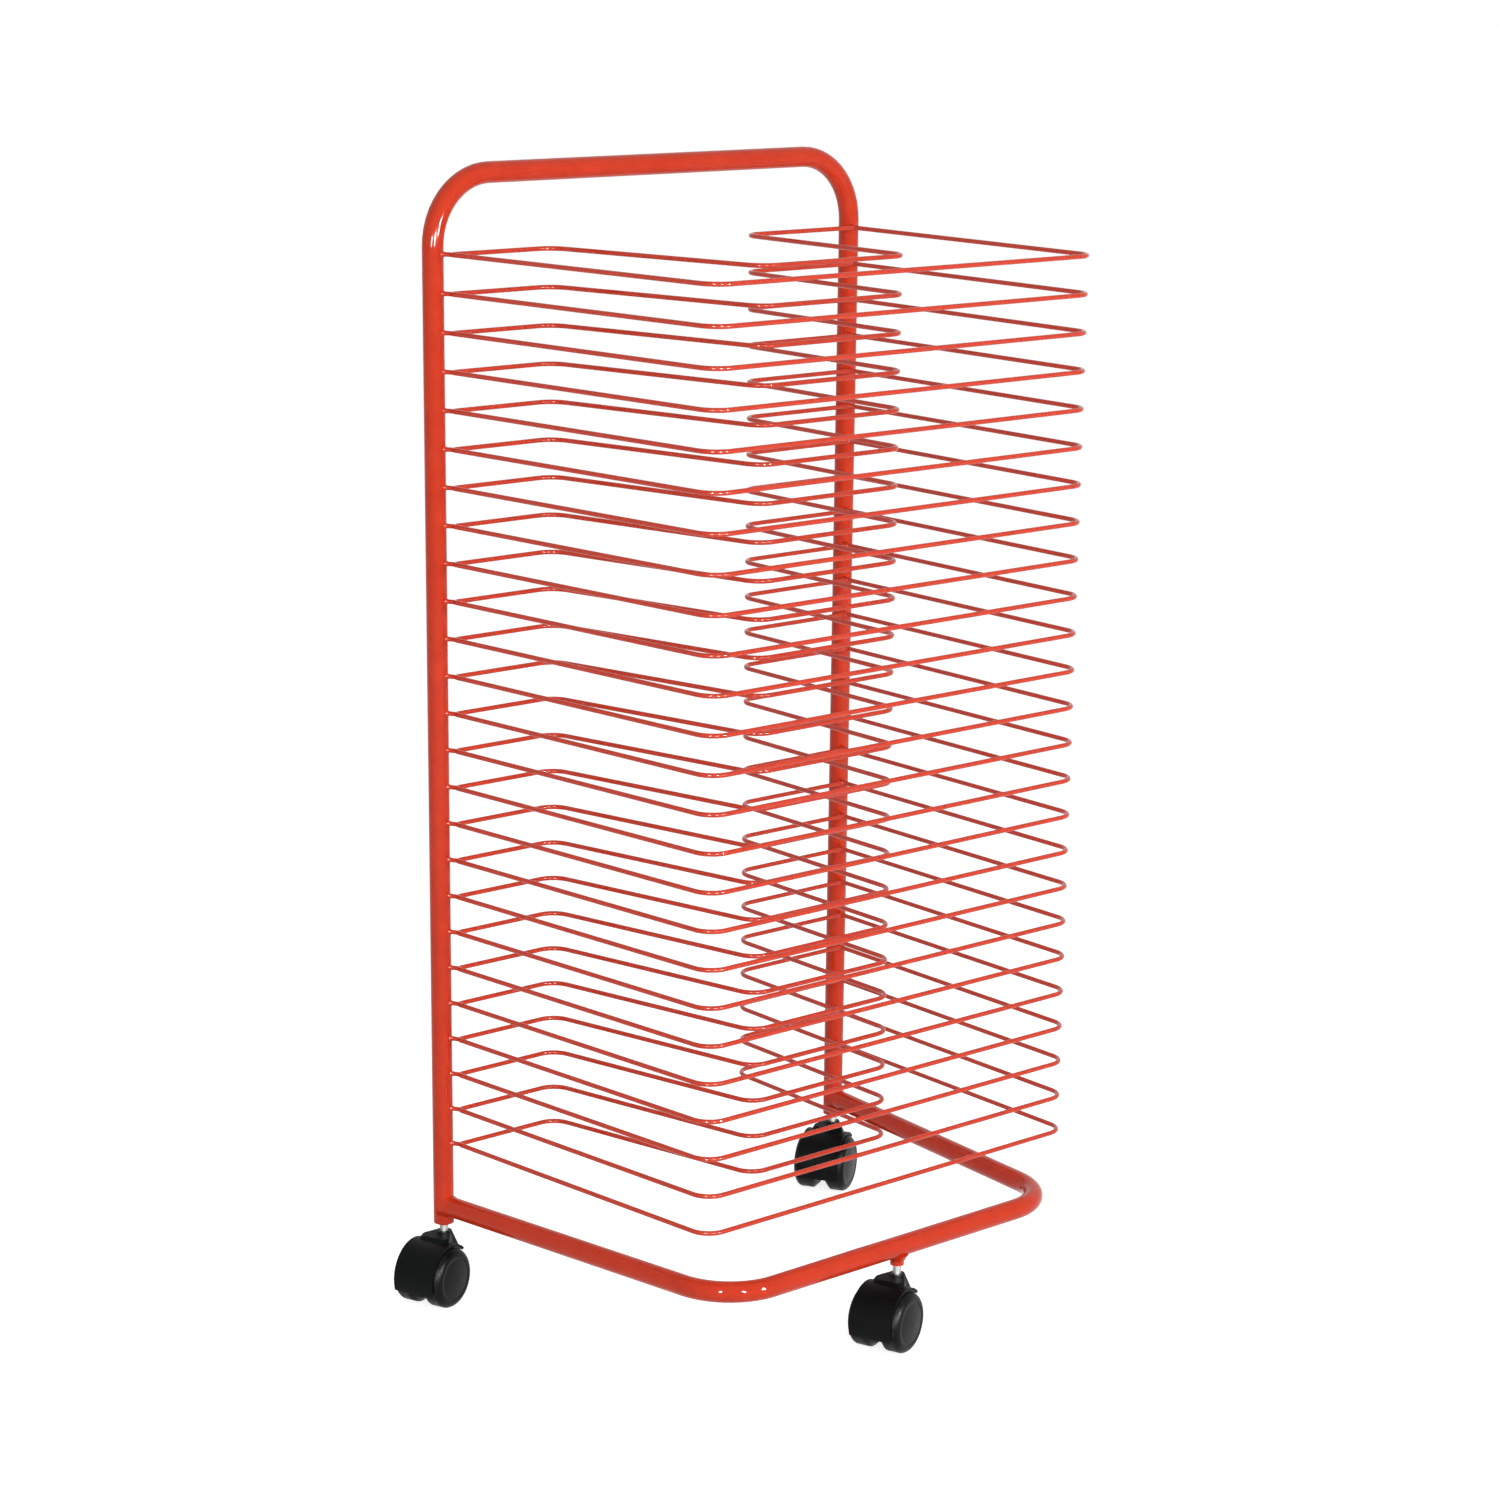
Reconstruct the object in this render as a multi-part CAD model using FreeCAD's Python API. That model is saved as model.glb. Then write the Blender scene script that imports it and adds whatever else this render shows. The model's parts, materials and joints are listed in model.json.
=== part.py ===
import FreeCAD, Part
import math
import os

V = FreeCAD.Vector
os.makedirs("parts", exist_ok=True)

# Everything is in millimetres. The origin lies on the floor, midway between the
# two posts; X runs along the back hoop, -Y is the front and Z is up.

# Hoop: one tube bent into an inverted U, the two posts and the handle bar
TUBE_D = 18.0
TUBE_WALL = 1.5
POST_HALF = 233.5
POST_BOTTOM_Z = 69.5
HOOP_BEND_R = 58.0
BAR_RISE = 63.5

# Base: a second tube bent into a U, tapering towards its closed front
BASE_Z = 85.5
BASE_FRONT_HALF = 192.5
BASE_DEPTH = 332.0
BASE_BEND_R = 55.0
BASE_END_SETBACK = 1.5

# Wire shelves
SHELF_COUNT = 25
SHELF_PITCH = 32.0
SHELF_LOWEST_Z = 143.5
WIRE_D = 4.0
SHELF_POST_GAP = 3.0
SHELF_DEPTH = 311.0
SHELF_INSET = 6.5
SHELF_TAPER = 17.0
NOTCH_DEPTH = 221.0
NOTCH_BACK_LEFT = 120.0
NOTCH_BACK_RIGHT = 94.0
NOTCH_FRONT_HALF = 81.0
SHELF_BEND_R = 18.0
SHELF_POST_BEND_R = 4.5

# Welds
SHELF_NECK_R = 1.95
SHELF_WELD_R = 3.3
SHELF_WELD_LEN = 2.2
BASE_WELD_R = 11.6
BASE_WELD_TIP_R = 9.2
BASE_WELD_LEN = 2.6
BOSS_WELD_R = 9.8
BOSS_WELD_TIP_R = 6.5
BOSS_WELD_DROP = 3.0
BOSS_WELD_RISE = 2.6

# Caster stem, and the insert or boss it screws into
STEM_R = 3.75
STEM_SHANK_TOP_Z = 84.0
STEM_BEAD_R = 4.4
STEM_BEAD_H = 2.0
STEM_BEAD_RISE = 2.5
STEM_BEAD_SLOPE = 0.6
STEM_TIP_R = 2.8
STEM_TIP_H = 1.2
STEM_END_GAP = 0.5
INSERT_BOTTOM_Z = 67.7
INSERT_BOTTOM_R = 5.5
INSERT_CHAMFER = 1.4
INSERT_LEN = 22.0
BOSS_BOTTOM_Z = 69.8
BOSS_R = 6.0
RUNNING_FIT = 0.05

# Caster body
WHEEL_R = 26.5
WHEEL_W = 19.6
WHEEL_RIM_FLAT = 14.8
WHEEL_FACE_R = 18.0
WHEEL_SHOULDER_BULGE = 2.1
WHEEL_DOME = 1.2
WHEEL_EDGE = 4.0
WEB_T = 9.6
WEB_R = 12.0
WHEEL_GAP = 0.4
TRAIL = 18.5
AXLE_R = 3.0
AXLE_INSET = 4.0
HOOD_GAP = 1.3
HOOD_T = 2.4
HOOD_HALF_W = 19.8
HOOD_LEAD_DEG = 47.0
HOOD_TRAIL_DEG = 199.0
COLLAR_TOP_Z = 61.5
COLLAR_TOP_R = 6.8
COLLAR_BASE_R = 13.0
COLLAR_LEN = 14.5
SOCKET_FLOOR = 2.0

# The rise of the hood behind the collar, widening towards the back
RISE_FRONT_X = 1.0
RISE_BACK_X = -17.0
RISE_FRONT_HALF_W = 6.4
RISE_BACK_HALF_W = 17.5
RISE_BACK_DROP = 2.0
RISE_FOOT_DROP = 15.0
RISE_FOOT_OUT = 4.5
RISE_CORNER_R = 5.0

# Where each caster stands, and how far its trailing side has swung
CASTERS = {
    "left": (-POST_HALF, 0.0, 18.0),
    "right": (POST_HALF, 0.0, 29.0),
    "front": (0.0, -BASE_DEPTH, 18.0),
}

TUBE_R = TUBE_D / 2
WIRE_R = WIRE_D / 2
SHELF_TOP_Z = SHELF_LOWEST_Z + (SHELF_COUNT - 1) * SHELF_PITCH
SHELF_BACK_Y = -(TUBE_R + SHELF_POST_GAP + WIRE_R)
SHELF_BACK_HALF = POST_HALF - SHELF_INSET
SHELF_FRONT_HALF = SHELF_BACK_HALF - SHELF_TAPER
BAR_Z = SHELF_TOP_Z + BAR_RISE
BAR_UNDERSIDE_Z = BASE_Z - TUBE_R


def save(shape, node):
    shape.exportStep("parts/%s.step" % node)


def rounded_edges(points, radii, closed):
    """Straight runs joined by tangent arcs; radii[i] rounds points[i]."""
    count = len(points)
    ends = []
    for i in range(count):
        here = points[i]
        if not closed and i in (0, count - 1):
            ends.append((here, None, here))
            continue
        before = (points[i - 1] - here).normalize()
        after = (points[(i + 1) % count] - here).normalize()
        half = before.getAngle(after) / 2
        reach = radii[i] / math.tan(half)
        start = here + before * reach
        stop = here + after * reach
        bisector = (before + after).normalize()
        centre = here + bisector * (radii[i] / math.sin(half))
        middle = centre - bisector * radii[i]
        ends.append((start, middle, stop))
    edges = []
    for i in range(count):
        start, middle, stop = ends[i]
        if middle is not None:
            edges.append(Part.Arc(start, middle, stop).toShape())
        if closed or i < count - 1:
            edges.append(Part.makeLine(stop, ends[(i + 1) % count][0]))
    return edges


def swept(edges, radius):
    """A round bar of the given radius along the edges."""
    path = Part.Wire(edges)
    first = edges[0]
    start = first.valueAt(first.FirstParameter)
    along = first.tangentAt(first.FirstParameter)
    ring = Part.Wire(Part.makeCircle(radius, start, along))
    return path.makePipeShell([ring], True, True)


def tube_along(edges):
    outer = swept(edges, TUBE_R)
    inner = swept(edges, TUBE_R - TUBE_WALL)
    return outer.cut(inner)


def post_cylinder(side):
    base = V(side * POST_HALF, 0, POST_BOTTOM_Z)
    return Part.makeCylinder(TUBE_R, BAR_Z - POST_BOTTOM_Z, base)


def frame_hoop():
    left = V(-POST_HALF, 0, POST_BOTTOM_Z)
    right = V(POST_HALF, 0, POST_BOTTOM_Z)
    corners = [left, V(-POST_HALF, 0, BAR_Z), V(POST_HALF, 0, BAR_Z), right]
    return tube_along(rounded_edges(corners, [0, HOOP_BEND_R, HOOP_BEND_R, 0], False))


def base_corners():
    back = V(POST_HALF, 0, BASE_Z)
    front = V(BASE_FRONT_HALF, -BASE_DEPTH, BASE_Z)
    return [V(-back.x, back.y, back.z), V(-front.x, front.y, front.z), front, back]


def base_end(post, corner):
    """Where the tube's straight run starts, just in front of the post's axis."""
    return post + (corner - post).normalize() * BASE_END_SETBACK


def base_loop():
    """The base tube, coped to the front of each post."""
    corners = base_corners()
    corners[0] = base_end(corners[0], corners[1])
    corners[3] = base_end(corners[3], corners[2])
    edges = rounded_edges(corners, [0, BASE_BEND_R, BASE_BEND_R, 0], False)
    tube = tube_along(edges)
    for side in (-1, 1):
        tube = tube.cut(post_cylinder(side))
    return max(tube.Solids, key=lambda solid: solid.Volume)


def base_welds():
    """A raised bead round each end of the base where it meets its post."""
    corners = base_corners()
    beads = []
    for side, end, front in ((-1, corners[0], corners[1]), (1, corners[3], corners[2])):
        along = (front - end).normalize()
        start = base_end(end, front)
        reach = TUBE_R + BASE_WELD_LEN - BASE_END_SETBACK
        bead = Part.makeCone(BASE_WELD_R, BASE_WELD_TIP_R, reach, start, along)
        bead = bead.cut(Part.makeCylinder(TUBE_R, 2 * reach, start, along))
        bead = bead.cut(post_cylinder(side))
        beads.append(max(bead.Solids, key=lambda solid: solid.CenterOfMass.dot(along)))
    return Part.makeCompound(beads)


def shelf_outline(z):
    back = SHELF_BACK_Y
    front = back - SHELF_DEPTH
    notch = back - NOTCH_DEPTH
    points = [
        V(-NOTCH_BACK_LEFT, back, z),
        V(-SHELF_BACK_HALF, back, z),
        V(-SHELF_FRONT_HALF, front, z),
        V(SHELF_FRONT_HALF, front, z),
        V(SHELF_BACK_HALF, back, z),
        V(NOTCH_BACK_RIGHT, back, z),
        V(NOTCH_FRONT_HALF, notch, z),
        V(-NOTCH_FRONT_HALF, notch, z),
    ]
    radii = [SHELF_BEND_R] * len(points)
    radii[1] = SHELF_POST_BEND_R
    radii[4] = SHELF_POST_BEND_R
    return rounded_edges(points, radii, True)


def shelf_loop():
    """The top shelf: one closed loop of wire, open to the back between the posts."""
    return swept(shelf_outline(SHELF_TOP_Z), WIRE_R)


def shelf_weld(wire):
    """The neck that joins the right back corner of the top shelf to its post."""
    corner = V(SHELF_BACK_HALF, SHELF_BACK_Y, SHELF_TOP_Z)
    post = V(POST_HALF, 0, SHELF_TOP_Z)
    inward = V(-1, -1, 0).normalize()
    nose = corner + inward * (SHELF_POST_BEND_R * (math.sqrt(2) - 1))
    towards = (nose - post).normalize()
    root = post + towards * (TUBE_R - SHELF_WELD_LEN)
    length = (nose - root).Length
    bead = revolved([
        (0, 0),
        (SHELF_WELD_R, 0),
        (SHELF_NECK_R, 2 * SHELF_WELD_LEN),
        (SHELF_NECK_R, length),
        (0, length),
    ])
    bead.Placement = FreeCAD.Placement(root, FreeCAD.Rotation(V(0, 0, 1), towards))
    bead = bead.cut(post_cylinder(1))
    bead = bead.cut(wire)
    return max(bead.Solids, key=lambda solid: solid.Volume)


def stacked(shape, name_of):
    for i in range(SHELF_COUNT):
        copy = shape.copy()
        copy.translate(V(0, 0, -i * SHELF_PITCH))
        name_of(i, copy)


def revolved(profile):
    points = [V(x, 0, z) for x, z in profile]
    face = Part.Face(Part.makePolygon(points + [points[0]]))
    return face.revolve(V(0, 0, 0), V(0, 0, 1), 360)


def post_insert():
    """The threaded plug in the foot of a post, centred on the Z axis."""
    bore = STEM_R
    inside = TUBE_R - TUBE_WALL
    return revolved([
        (bore, INSERT_BOTTOM_Z),
        (INSERT_BOTTOM_R, INSERT_BOTTOM_Z),
        (INSERT_BOTTOM_R, POST_BOTTOM_Z - INSERT_CHAMFER),
        (TUBE_R, POST_BOTTOM_Z),
        (inside, POST_BOTTOM_Z),
        (inside, POST_BOTTOM_Z + INSERT_LEN),
        (bore, POST_BOTTOM_Z + INSERT_LEN),
    ])


def front_bar():
    start = V(-BASE_FRONT_HALF, -BASE_DEPTH, BASE_Z)
    return Part.makeCylinder(TUBE_R, 2 * BASE_FRONT_HALF, start, V(1, 0, 0))


def front_boss():
    """The round weld nut under the middle of the front bar."""
    centre = V(0, -BASE_DEPTH, BOSS_BOTTOM_Z)
    height = BASE_Z - BOSS_BOTTOM_Z
    boss = Part.makeCylinder(BOSS_R, height, centre).cut(front_bar())
    boss = boss.cut(Part.makeCylinder(STEM_R, height, centre))
    return min(boss.Solids, key=lambda solid: solid.CenterOfMass.z)


def front_boss_weld():
    """The flared bead between the boss and the front bar."""
    height = BOSS_WELD_DROP + BOSS_WELD_RISE
    centre = V(0, -BASE_DEPTH, BAR_UNDERSIDE_Z - BOSS_WELD_DROP)
    cone = Part.makeCone(BOSS_WELD_TIP_R, BOSS_WELD_R, height, centre)
    cone = cone.cut(front_bar())
    cone = cone.cut(Part.makeCylinder(BOSS_R, height, centre))
    return max(cone.Solids, key=lambda solid: solid.Volume)


def stem_profile(shank_top, grow):
    """Half section of the stem, with its snap bead; grow gives the socket round it."""
    foot = COLLAR_TOP_Z - COLLAR_LEN + SOCKET_FLOOR
    bead = foot + STEM_BEAD_RISE
    return [
        (0, foot - grow),
        (STEM_TIP_R + grow, foot - grow),
        (STEM_R + grow, foot + STEM_TIP_H),
        (STEM_R + grow, bead),
        (STEM_BEAD_R + grow, bead + STEM_BEAD_SLOPE),
        (STEM_BEAD_R + grow, bead + STEM_BEAD_H),
        (STEM_R + grow, bead + STEM_BEAD_H + STEM_BEAD_SLOPE),
        (STEM_R + grow, shank_top),
        (0, shank_top),
    ]


def stem(shank_top):
    return revolved(stem_profile(shank_top, 0.0))


def about_axle(shape):
    """Turns a shape made round Z so that it lies round the axle."""
    shape.rotate(V(0, 0, 0), V(1, 0, 0), 90)
    shape.translate(V(-TRAIL, 0, WHEEL_R))
    return shape


def wheel(side):
    """A twin wheel: flat tread, rounded shoulder and a smooth domed outer face."""
    inner = WEB_T / 2 + WHEEL_GAP
    bore = AXLE_R + RUNNING_FIT
    outer = inner + WHEEL_W
    bore_end = outer - AXLE_INSET + RUNNING_FIT
    dome_r = (WHEEL_FACE_R ** 2 + WHEEL_DOME ** 2) / (2 * WHEEL_DOME)
    half_turn = math.asin(WHEEL_FACE_R / dome_r) / 2
    dome_top = outer + WHEEL_DOME
    flat = inner + WHEEL_RIM_FLAT
    rim = V(WHEEL_R, 0, flat)
    face_edge = V(WHEEL_FACE_R, 0, outer)
    chord = face_edge - rim
    outward = V(chord.z, 0, -chord.x).normalize()
    shoulder = Part.Arc(rim, (rim + face_edge) * 0.5 + outward * WHEEL_SHOULDER_BULGE, face_edge)
    dome = Part.Arc(
        face_edge,
        V(dome_r * math.sin(half_turn), 0, dome_top - dome_r * (1 - math.cos(half_turn))),
        V(0, 0, dome_top),
    )
    straight = [
        (0, dome_top),
        (0, bore_end),
        (bore, bore_end),
        (bore, inner),
        (WHEEL_R - WHEEL_EDGE, inner),
        (WHEEL_R, inner + WHEEL_EDGE),
        (WHEEL_R, flat),
    ]
    edges = [shoulder.toShape(), dome.toShape()]
    for a, b in zip(straight, straight[1:]):
        edges.append(Part.makeLine(V(a[0], 0, a[1]), V(b[0], 0, b[1])))
    face = Part.Face(Part.Wire(Part.__sortEdges__(edges)))
    solid = face.revolve(V(0, 0, 0), V(0, 0, 1), 360)
    if side < 0:
        solid.rotate(V(0, 0, 0), V(1, 0, 0), 180)
    return about_axle(solid)


def axle():
    half = WEB_T / 2 + WHEEL_GAP + WHEEL_W - AXLE_INSET
    return about_axle(Part.makeCylinder(AXLE_R, 2 * half, V(0, 0, -half)))


def wheel_space():
    """The room the two wheels turn in, one round slot on each side of the web."""
    slots = []
    for side in (-1, 1):
        slot = Part.makeCylinder(WHEEL_R + HOOD_GAP, 2 * HOOD_HALF_W, V(0, 0, WEB_T / 2))
        if side < 0:
            slot.rotate(V(0, 0, 0), V(1, 0, 0), 180)
        slots.append(about_axle(slot))
    return slots[0].fuse(slots[1])


def hood_shell():
    """The curved cover: a sector of a drum as wide as the hood."""
    outer = WHEEL_R + HOOD_GAP + HOOD_T
    span = math.radians(HOOD_TRAIL_DEG - HOOD_LEAD_DEG)
    first = math.radians(HOOD_LEAD_DEG)
    arc = []
    for step in (0.0, 0.5, 1.0):
        angle = first + span * step
        arc.append(V(outer * math.cos(angle), 0, outer * math.sin(angle)))
    rim = Part.Arc(arc[0], arc[1], arc[2]).toShape()
    closing = [
        Part.makeLine(arc[2], V(0, 0, 0)),
        Part.makeLine(V(0, 0, 0), arc[0]),
    ]
    face = Part.Face(Part.Wire([rim] + closing))
    face.translate(V(-TRAIL, -HOOD_HALF_W, WHEEL_R))
    return face.extrude(V(0, 2 * HOOD_HALF_W, 0))


def rise_outline(grow, front_z, back_z):
    """Rounded outline of the rise behind the collar, grown outwards for its foot."""
    front = RISE_FRONT_X + grow
    back = RISE_BACK_X - 3 * grow
    points = [
        V(front, -RISE_FRONT_HALF_W - grow, front_z),
        V(front, RISE_FRONT_HALF_W + grow, front_z),
        V(back, RISE_BACK_HALF_W + grow, back_z),
        V(back, -RISE_BACK_HALF_W - grow, back_z),
    ]
    return Part.Wire(rounded_edges(points, [RISE_CORNER_R] * len(points), True))


def rise():
    """The smooth rise from the drum's back up to the collar."""
    foot_z = COLLAR_TOP_Z - RISE_FOOT_DROP
    top = rise_outline(0.0, COLLAR_TOP_Z, COLLAR_TOP_Z - RISE_BACK_DROP)
    foot = rise_outline(RISE_FOOT_OUT, foot_z, foot_z)
    return Part.makeLoft([foot, top], True, True)


def hood():
    web = Part.makeCylinder(WEB_R, WEB_T, V(0, 0, -WEB_T / 2))
    body = hood_shell().fuse(about_axle(web))
    collar_z = COLLAR_TOP_Z - COLLAR_LEN
    collar = Part.makeCone(COLLAR_BASE_R, COLLAR_TOP_R, COLLAR_LEN, V(0, 0, collar_z))
    body = body.fuse([collar, rise()])
    body = body.cut(wheel_space())
    half = WEB_T / 2 + WHEEL_GAP
    body = body.cut(about_axle(Part.makeCylinder(AXLE_R, 2 * half, V(0, 0, -half))))
    body = body.cut(revolved(stem_profile(INSERT_BOTTOM_Z, RUNNING_FIT)))
    return max(body.removeSplitter().Solids, key=lambda solid: solid.Volume)


def placed(shape, spot):
    x, y, swing = spot
    copy = shape.copy()
    copy.rotate(V(0, 0, 0), V(0, 0, 1), swing)
    copy.translate(V(x, y, 0))
    return copy


def build_frame():
    save(frame_hoop(), "frame_hoop")
    save(base_loop(), "base_loop")
    save(base_welds(), "base_welds")
    top = shelf_loop()
    stacked(top, lambda i, shape: save(shape, "shelf_%02d" % (i + 1)))
    beads = []
    stacked(shelf_weld(top), lambda i, shape: beads.append(shape))
    welds = Part.makeCompound(beads)
    save(welds, "shelf_welds_right")
    save(welds.mirror(V(0, 0, 0), V(1, 0, 0)), "shelf_welds_left")
    for side, word in ((-1, "left"), (1, "right")):
        save(placed(post_insert(), (side * POST_HALF, 0, 0)), "post_insert_%s" % word)
    save(front_boss(), "front_boss")
    save(front_boss_weld(), "front_boss_weld")


def build_casters():
    cover = hood()
    pin = axle()
    discs = {"front": wheel(1), "back": wheel(-1)}
    for name, spot in CASTERS.items():
        shank_top = STEM_SHANK_TOP_Z
        if name == "front":
            shank_top = BAR_UNDERSIDE_Z - STEM_END_GAP
        save(placed(stem(shank_top), spot), "caster_%s_stem" % name)
        save(placed(cover, spot), "caster_%s_hood" % name)
        save(placed(pin, spot), "caster_%s_axle" % name)
        for face, disc in discs.items():
            save(placed(disc, spot), "caster_%s_wheel_%s" % (name, face))


build_frame()
build_casters()
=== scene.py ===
import json
import math

import bpy
from mathutils import Matrix, Vector


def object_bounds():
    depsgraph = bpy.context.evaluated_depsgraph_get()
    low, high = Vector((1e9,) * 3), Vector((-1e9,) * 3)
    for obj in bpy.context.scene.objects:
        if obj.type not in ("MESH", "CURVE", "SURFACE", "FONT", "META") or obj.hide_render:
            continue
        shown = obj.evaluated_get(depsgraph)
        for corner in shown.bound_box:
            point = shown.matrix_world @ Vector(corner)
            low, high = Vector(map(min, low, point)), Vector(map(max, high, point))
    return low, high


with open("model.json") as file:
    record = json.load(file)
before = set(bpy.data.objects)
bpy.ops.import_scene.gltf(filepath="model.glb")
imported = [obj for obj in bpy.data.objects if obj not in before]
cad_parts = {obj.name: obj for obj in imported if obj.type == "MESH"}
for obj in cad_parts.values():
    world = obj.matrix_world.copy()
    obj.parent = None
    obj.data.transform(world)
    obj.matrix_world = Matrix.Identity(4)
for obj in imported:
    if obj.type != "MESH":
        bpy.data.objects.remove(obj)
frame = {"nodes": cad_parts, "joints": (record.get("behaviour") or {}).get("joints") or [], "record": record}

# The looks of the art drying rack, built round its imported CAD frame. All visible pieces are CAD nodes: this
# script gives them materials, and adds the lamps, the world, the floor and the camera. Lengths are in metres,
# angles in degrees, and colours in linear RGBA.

CAD_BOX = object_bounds()
WHITE = (1.0, 1.0, 1.0, 1.0)

# Camera, solved from the straight wires of the rack
CAMERA_PLACE = (-2.0429, -2.4173, 1.1909)
CAMERA_YAW = -41.870
CAMERA_PITCH = 15.336
CAMERA_ROLL = -0.676
CAMERA_SHIFT_Y = 0.1
SENSOR_WIDTH = 36.0
LENS = 87.19

# Lamps. Azimuth and elevation are as seen from the rack's middle. The softboxes give the plain light, and the
# narrow strips only the crisp highlights in the gloss.
LIGHT_DISTANCE = 3.2
SOFTBOXES = {
    "softbox_left": {"azimuth": 205.0, "elevation": 16.0, "width": 1.2, "height": 1.4, "radiance": 5.0},
    "softbox_middle": {"azimuth": 250.0, "elevation": 16.0, "width": 1.2, "height": 1.4, "radiance": 5.0},
    "softbox_right": {"azimuth": 285.0, "elevation": 16.0, "width": 1.4, "height": 1.6, "radiance": 6.0},
}
STRIPS = {
    "strip_left": {"azimuth": 217.0, "elevation": 10.0, "width": 0.16, "height": 0.45, "radiance": 600.0},
    "strip_middle": {"azimuth": 250.0, "elevation": 10.0, "width": 0.16, "height": 0.45, "radiance": 600.0},
    "strip_right": {"azimuth": 280.0, "elevation": 10.0, "width": 0.22, "height": 0.45, "radiance": 600.0},
}

# World and floor. The first strength lights things, and the second is what the camera and the gloss see.
WORLD_LIGHT = 0.30
WORLD_SEEN = 1.0
FLOOR_LIGHT = 0.0
FLOOR_SEEN = 0.80
FLOOR_HALF = 30.0
FLOOR_COLOUR = (0.72, 0.72, 0.72, 1.0)

# Powder coat. A finish's roughness drifts between smoothest and roughest.
TUBE_COAT = {"smoothest": 0.04, "roughest": 0.07, "specular": 0.16}
WIRE_COAT = {"smoothest": 0.14, "roughest": 0.18, "specular": 0.30}
COAT_RED = (0.690, 0.046, 0.013, 1.0)
COAT_RED_DEEP = (0.640, 0.040, 0.011, 1.0)
COAT_NIB = (0.780, 0.075, 0.040, 1.0)
MOTTLE_SCALE = 55.0
NIB_SCALE = 260.0
NIB_CORE = 0.035
NIB_EDGE = 0.075
NIB_RELIEF = 0.00002
COAT_DRIFT_SCALE = 140.0
PEEL_SCALE = 120.0
PEEL_RELIEF = 0.00001

# Zinc plate
ZINC_BLUISH = (0.36, 0.37, 0.39, 1.0)
ZINC_YELLOWISH = (0.44, 0.43, 0.40, 1.0)
ZINC_SMOOTHEST = 0.34
ZINC_ROUGHEST = 0.46
ZINC_TINT_SCALE = 180.0
ZINC_GRAIN_SCALE = 600.0
RING_SCALE = 700.0
RING_WANDER = 1.5
RING_RELIEF = 0.00004

# Black plastic of the casters' hoods
HOOD_BLACK = (0.0016, 0.0022, 0.0024, 1.0)
HOOD_DUSTY = (0.0050, 0.0056, 0.0058, 1.0)
HOOD_SMOOTHEST = 0.36
HOOD_ROUGHEST = 0.48
HOOD_SPECULAR = 0.07
HOOD_DUST_SCALE = 90.0
HOOD_DRIFT_SCALE = 700.0
HOOD_GRAIN_SCALE = 2600.0
HOOD_GRAIN_RELIEF = 0.00005

# Black plastic of the casters' wheels. The tread is what lies further from the axle than its two radii.
WHEEL_BLACK = (0.0018, 0.0023, 0.0023, 1.0)
WHEEL_SCUFFED = (0.0090, 0.0090, 0.0088, 1.0)
WHEEL_SMOOTHEST = 0.30
WHEEL_ROUGHEST = 0.40
WHEEL_SPECULAR = 0.10
WHEEL_DRIFT_SCALE = 500.0
WHEEL_GRAIN_SCALE = 1900.0
WHEEL_GRAIN_RELIEF = 0.00004
TREAD_START = 0.0252
TREAD_FULL = 0.0262
SCUFF_SCALE = 230.0
SCUFF_RELIEF = 0.00008
SCUFF_ROUGHENS = 0.25


def set_value(node, name, value):
    """Sets a uniform value on a node's own socket."""
    node.inputs[name].default_value = value


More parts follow.
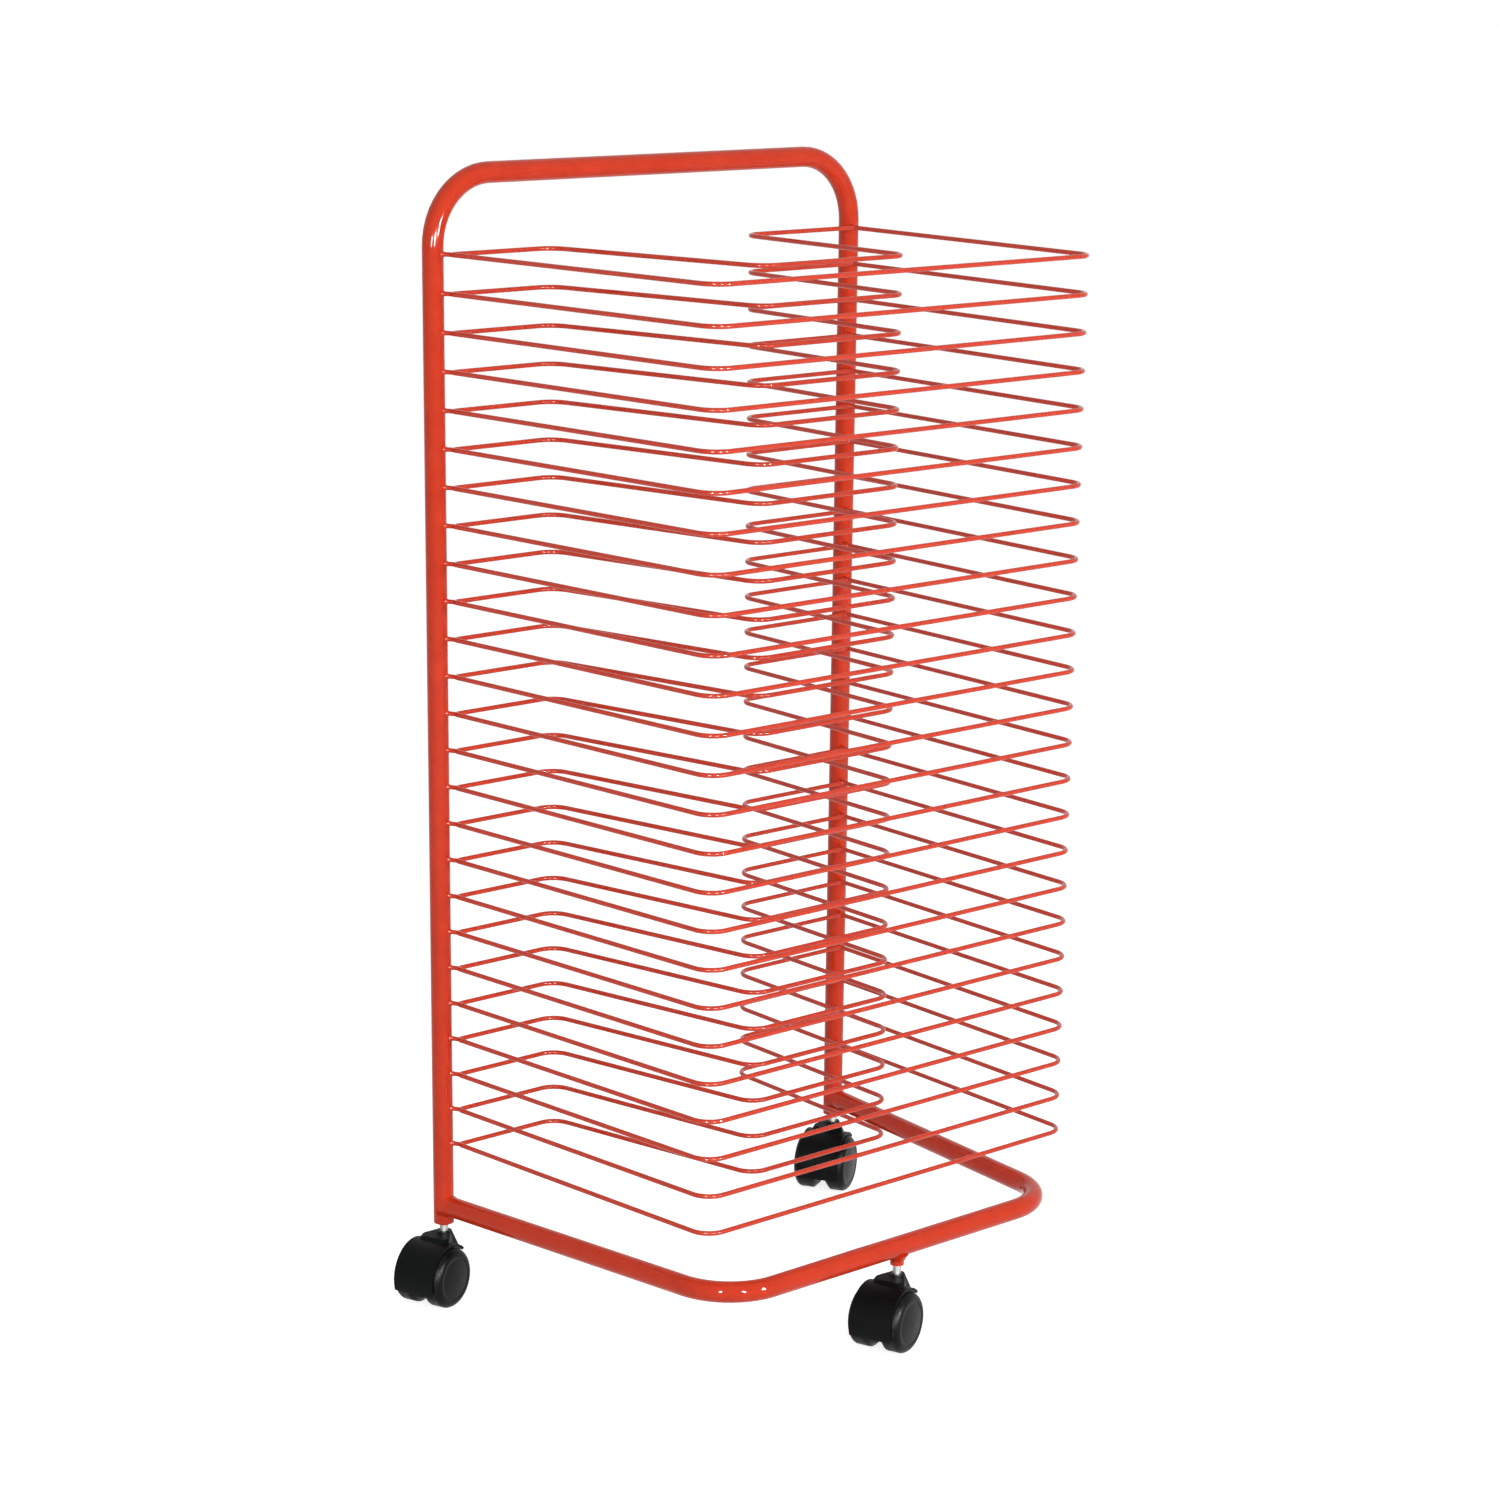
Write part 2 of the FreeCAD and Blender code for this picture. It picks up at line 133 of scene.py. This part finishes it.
class Nodes:
    """A short way to build one node-based material. Scales are in features per metre, reliefs in metres."""

    def __init__(self, name):
        self.material = bpy.data.materials.new(name)
        self.material.use_nodes = True
        self.tree = self.material.node_tree
        self.shader = self.tree.nodes["Principled BSDF"]
        self.coordinates = self.add("ShaderNodeTexCoord").outputs["Object"]

    def add(self, kind, **settings):
        made = self.tree.nodes.new(kind)
        for key, value in settings.items():
            setattr(made, key, value)
        return made

    def link(self, output, target):
        self.tree.links.new(output, target)

    def noise(self, scale, detail=2.0, roughness=0.5):
        made = self.add("ShaderNodeTexNoise")
        set_value(made, "Scale", scale)
        set_value(made, "Detail", detail)
        set_value(made, "Roughness", roughness)
        self.link(self.coordinates, made.inputs["Vector"])
        return made.outputs["Fac"]

    def cells(self, scale):
        """Distance to the nearest of many scattered points."""
        made = self.add("ShaderNodeTexVoronoi")
        set_value(made, "Scale", scale)
        self.link(self.coordinates, made.inputs["Vector"])
        return made.outputs["Distance"]

    def remap(self, value, low, high, to_low=0.0, to_high=1.0):
        """Stretches a value from one range to another, and clamps it to the second."""
        made = self.add("ShaderNodeMapRange")
        for name, number in (("From Min", low), ("From Max", high), ("To Min", to_low), ("To Max", to_high)):
            set_value(made, name, number)
        self.link(value, made.inputs["Value"])
        return made.outputs["Result"]

    def drift(self, scale, low, high):
        """A value that wanders softly between low and high over the surface."""
        return self.remap(self.noise(scale), 0.3, 0.7, low, high)

    def math(self, operation, first, second):
        """One step of arithmetic on two values, each a number or another node's output."""
        made = self.add("ShaderNodeMath", operation=operation)
        for slot, value in enumerate((first, second)):
            if isinstance(value, float):
                made.inputs[slot].default_value = value
            else:
                self.link(value, made.inputs[slot])
        return made.outputs["Value"]

    def mix(self, factor, first, second):
        """Blends two colours, each a plain colour or another node's output."""
        made = self.add("ShaderNodeMix", data_type="RGBA")
        self.link(factor, made.inputs["Factor"])
        for name, colour in (("A", first), ("B", second)):
            target = [i for i in made.inputs if i.name == name and i.type == "RGBA"][0]
            if isinstance(colour, tuple):
                target.default_value = colour
            else:
                self.link(colour, target)
        return [o for o in made.outputs if o.type == "RGBA"][0]

    def bump(self, height, relief, strength=1.0, below=None):
        made = self.add("ShaderNodeBump")
        set_value(made, "Distance", relief)
        set_value(made, "Strength", strength)
        self.link(height, made.inputs["Height"])
        if below is not None:
            self.link(below, made.inputs["Normal"])
        return made.outputs["Normal"]

    def finish(self, colour, roughness, normal):
        for name, output in (("Base Color", colour), ("Roughness", roughness), ("Normal", normal)):
            self.link(output, self.shader.inputs[name])
        return self.material


def powder_coat(name, coat):
    """Glossy red powder coat: faint mottling, orange peel, and a few dust nibs under the gloss."""
    m = Nodes(name)
    mottle = m.remap(m.noise(MOTTLE_SCALE, 4.0), 0.35, 0.65)
    nib = m.remap(m.cells(NIB_SCALE), NIB_CORE, NIB_EDGE, 1.0, 0.0)
    colour = m.mix(nib, m.mix(mottle, COAT_RED, COAT_RED_DEEP), COAT_NIB)
    roughness = m.drift(COAT_DRIFT_SCALE, coat["smoothest"], coat["roughest"])
    peel = m.bump(m.noise(PEEL_SCALE, 1.0), PEEL_RELIEF)
    normal = m.bump(nib, NIB_RELIEF, 0.3, peel)
    set_value(m.shader, "Specular IOR Level", coat["specular"])
    return m.finish(colour, roughness, normal)


def zinc():
    """Bright zinc plate with fine turning rings and a thin passivation tint."""
    m = Nodes("zinc_plate_finish")
    tint = m.remap(m.noise(ZINC_TINT_SCALE, 3.0), 0.4, 0.6)
    colour = m.mix(tint, ZINC_BLUISH, ZINC_YELLOWISH)
    rings = m.add("ShaderNodeTexWave", bands_direction="Z")
    set_value(rings, "Scale", RING_SCALE)
    set_value(rings, "Distortion", RING_WANDER)
    m.link(m.coordinates, rings.inputs["Vector"])
    roughness = m.drift(ZINC_GRAIN_SCALE, ZINC_SMOOTHEST, ZINC_ROUGHEST)
    set_value(m.shader, "Metallic", 1.0)
    return m.finish(colour, roughness, m.bump(rings.outputs["Fac"], RING_RELIEF, 0.5))


def hood_plastic():
    """Black moulded nylon with a fine spark-eroded grain and a little dust."""
    m = Nodes("black_hood_finish")
    dust = m.remap(m.noise(HOOD_DUST_SCALE, 5.0, 0.6), 0.5, 0.8)
    colour = m.mix(dust, HOOD_BLACK, HOOD_DUSTY)
    roughness = m.drift(HOOD_DRIFT_SCALE, HOOD_SMOOTHEST, HOOD_ROUGHEST)
    grain = m.bump(m.noise(HOOD_GRAIN_SCALE), HOOD_GRAIN_RELIEF, 0.8)
    set_value(m.shader, "Specular IOR Level", HOOD_SPECULAR)
    return m.finish(colour, roughness, grain)


def wheel_plastic(name, centre, axis):
    """Black moulded wheel: satin faces, and a duller scuffed tread round the axle at centre."""
    m = Nodes(name)
    away = m.add("ShaderNodeVectorMath", operation="SUBTRACT")
    away.inputs[1].default_value = centre
    m.link(m.coordinates, away.inputs[0])
    across = m.add("ShaderNodeVectorMath", operation="CROSS_PRODUCT")
    across.inputs[1].default_value = axis
    m.link(away.outputs["Vector"], across.inputs[0])
    radius = m.add("ShaderNodeVectorMath", operation="LENGTH")
    m.link(across.outputs["Vector"], radius.inputs[0])
    tread = m.remap(radius.outputs["Value"], TREAD_START, TREAD_FULL)
    scuff = m.math("MULTIPLY", tread, m.remap(m.noise(SCUFF_SCALE, 5.0, 0.65), 0.42, 0.62))
    colour = m.mix(scuff, WHEEL_BLACK, WHEEL_SCUFFED)
    satin = m.drift(WHEEL_DRIFT_SCALE, WHEEL_SMOOTHEST, WHEEL_ROUGHEST)
    roughness = m.math("ADD", satin, m.math("MULTIPLY", scuff, SCUFF_ROUGHENS))
    grain = m.bump(m.noise(WHEEL_GRAIN_SCALE), WHEEL_GRAIN_RELIEF, 0.7)
    set_value(m.shader, "Specular IOR Level", WHEEL_SPECULAR)
    return m.finish(colour, roughness, m.bump(scuff, SCUFF_RELIEF, 0.6, grain))


def dress(names, material):
    """Gives CAD nodes a better material through their own slots."""
    for name in names:
        for slot in frame["nodes"][name].material_slots:
            slot.material = material


def dress_all():
    by_slot = {}
    for part in frame["record"]["subparts"]:
        by_slot.setdefault(part["material_slot"], []).append(part["node"])
    shelves = [name for name in by_slot["red_powder_coat"] if name.startswith("shelf_")]
    tubes = [name for name in by_slot["red_powder_coat"] if name not in shelves]
    dress(tubes, powder_coat("tube_powder_coat", TUBE_COAT))
    dress(shelves, powder_coat("wire_powder_coat", WIRE_COAT))
    dress(by_slot["zinc_plated_steel"], zinc())
    dress(by_slot["black_hood_plastic"], hood_plastic())
    for joint in frame["joints"]:
        if joint["name"].endswith("_spin"):
            wheel = joint["name"].removesuffix("_spin")
            dress([wheel], wheel_plastic(wheel + "_finish", joint["pos_m"], joint["axis"]))


def direction(azimuth, elevation):
    """Unit vector towards an azimuth (from +X towards +Y) and an elevation."""
    a, e = math.radians(azimuth), math.radians(elevation)
    return Vector((math.cos(a) * math.cos(e), math.sin(a) * math.cos(e), math.sin(e)))


def make_lamp(name, box):
    """A flat rectangular lamp that faces the rack's middle."""
    low, high = (Vector(corner) for corner in CAD_BOX)
    data = bpy.data.lights.new(name, "AREA")
    data.shape = "RECTANGLE"
    data.size = box["width"]
    data.size_y = box["height"]
    data.energy = box["radiance"] * math.pi * box["width"] * box["height"]
    lamp = bpy.data.objects.new(name, data)
    bpy.context.scene.collection.objects.link(lamp)
    towards = direction(box["azimuth"], box["elevation"])
    lamp.location = (low + high) / 2 + towards * LIGHT_DISTANCE
    lamp.rotation_euler = towards.to_track_quat("Z", "Y").to_euler()
    return lamp


def make_lamps():
    for name, box in SOFTBOXES.items():
        make_lamp(name, box).visible_glossy = False
    for name, box in STRIPS.items():
        make_lamp(name, box).visible_diffuse = False


def strength_by_ray(tree, light, seen):
    """Strength seen where the camera, a reflection or a see-through piece looks, and light everywhere else."""
    path = tree.nodes.new("ShaderNodeLightPath")
    looks = path.outputs["Is Camera Ray"]
    for name in ("Is Glossy Ray", "Is Transmission Ray"):
        larger = tree.nodes.new("ShaderNodeMath")
        larger.operation = "MAXIMUM"
        tree.links.new(looks, larger.inputs[0])
        tree.links.new(path.outputs[name], larger.inputs[1])
        looks = larger.outputs["Value"]
    strength = tree.nodes.new("ShaderNodeMapRange")
    set_value(strength, "To Min", light)
    set_value(strength, "To Max", seen)
    tree.links.new(looks, strength.inputs["Value"])
    return strength.outputs["Result"]


def make_world():
    world = bpy.data.worlds.new("studio")
    world.use_nodes = True
    bpy.context.scene.world = world
    tree = world.node_tree
    background = tree.nodes["Background"]
    set_value(background, "Color", WHITE)
    tree.links.new(strength_by_ray(tree, WORLD_LIGHT, WORLD_SEEN), background.inputs["Strength"])


def floor_finish():
    """Matt white that also looks white where the lamps don't reach it, and keeps the rack's soft shadow."""
    material = bpy.data.materials.new("floor_finish")
    material.use_nodes = True
    tree = material.node_tree
    tree.nodes.clear()
    matt = tree.nodes.new("ShaderNodeBsdfDiffuse")
    set_value(matt, "Color", FLOOR_COLOUR)
    glow = tree.nodes.new("ShaderNodeEmission")
    tree.links.new(strength_by_ray(tree, FLOOR_LIGHT, FLOOR_SEEN), glow.inputs["Strength"])
    both = tree.nodes.new("ShaderNodeAddShader")
    tree.links.new(matt.outputs[0], both.inputs[0])
    tree.links.new(glow.outputs[0], both.inputs[1])
    output = tree.nodes.new("ShaderNodeOutputMaterial")
    tree.links.new(both.outputs[0], output.inputs["Surface"])
    return material


def make_floor():
    mesh = bpy.data.meshes.new("floor")
    corners = [(x * FLOOR_HALF, y * FLOOR_HALF, 0.0) for x, y in ((-1, -1), (1, -1), (1, 1), (-1, 1))]
    mesh.from_pydata(corners, [], [(0, 1, 2, 3)])
    mesh.materials.append(floor_finish())
    floor = bpy.data.objects.new("floor", mesh)
    bpy.context.scene.collection.objects.link(floor)


def make_camera():
    yaw, pitch, roll = (math.radians(a) for a in (CAMERA_YAW, CAMERA_PITCH, CAMERA_ROLL))
    forward = Vector((-math.sin(yaw) * math.cos(pitch), math.cos(yaw) * math.cos(pitch), -math.sin(pitch)))
    level = Vector((math.cos(yaw), math.sin(yaw), 0.0))
    down = forward.cross(level)
    right = math.cos(roll) * level + math.sin(roll) * down
    up = math.sin(roll) * level - math.cos(roll) * down
    turn = Matrix((right, up, -forward)).transposed()
    data = bpy.data.cameras.new("camera")
    data.sensor_width = SENSOR_WIDTH
    data.lens = LENS
    data.shift_y = CAMERA_SHIFT_Y
    camera = bpy.data.objects.new("camera", data)
    camera.matrix_world = Matrix.Translation(CAMERA_PLACE) @ turn.to_4x4()
    bpy.context.scene.collection.objects.link(camera)
    bpy.context.scene.camera = camera


def main():
    make_camera()
    make_world()
    make_floor()
    make_lamps()
    dress_all()
    bpy.context.scene.view_settings.view_transform = "Standard"


main()
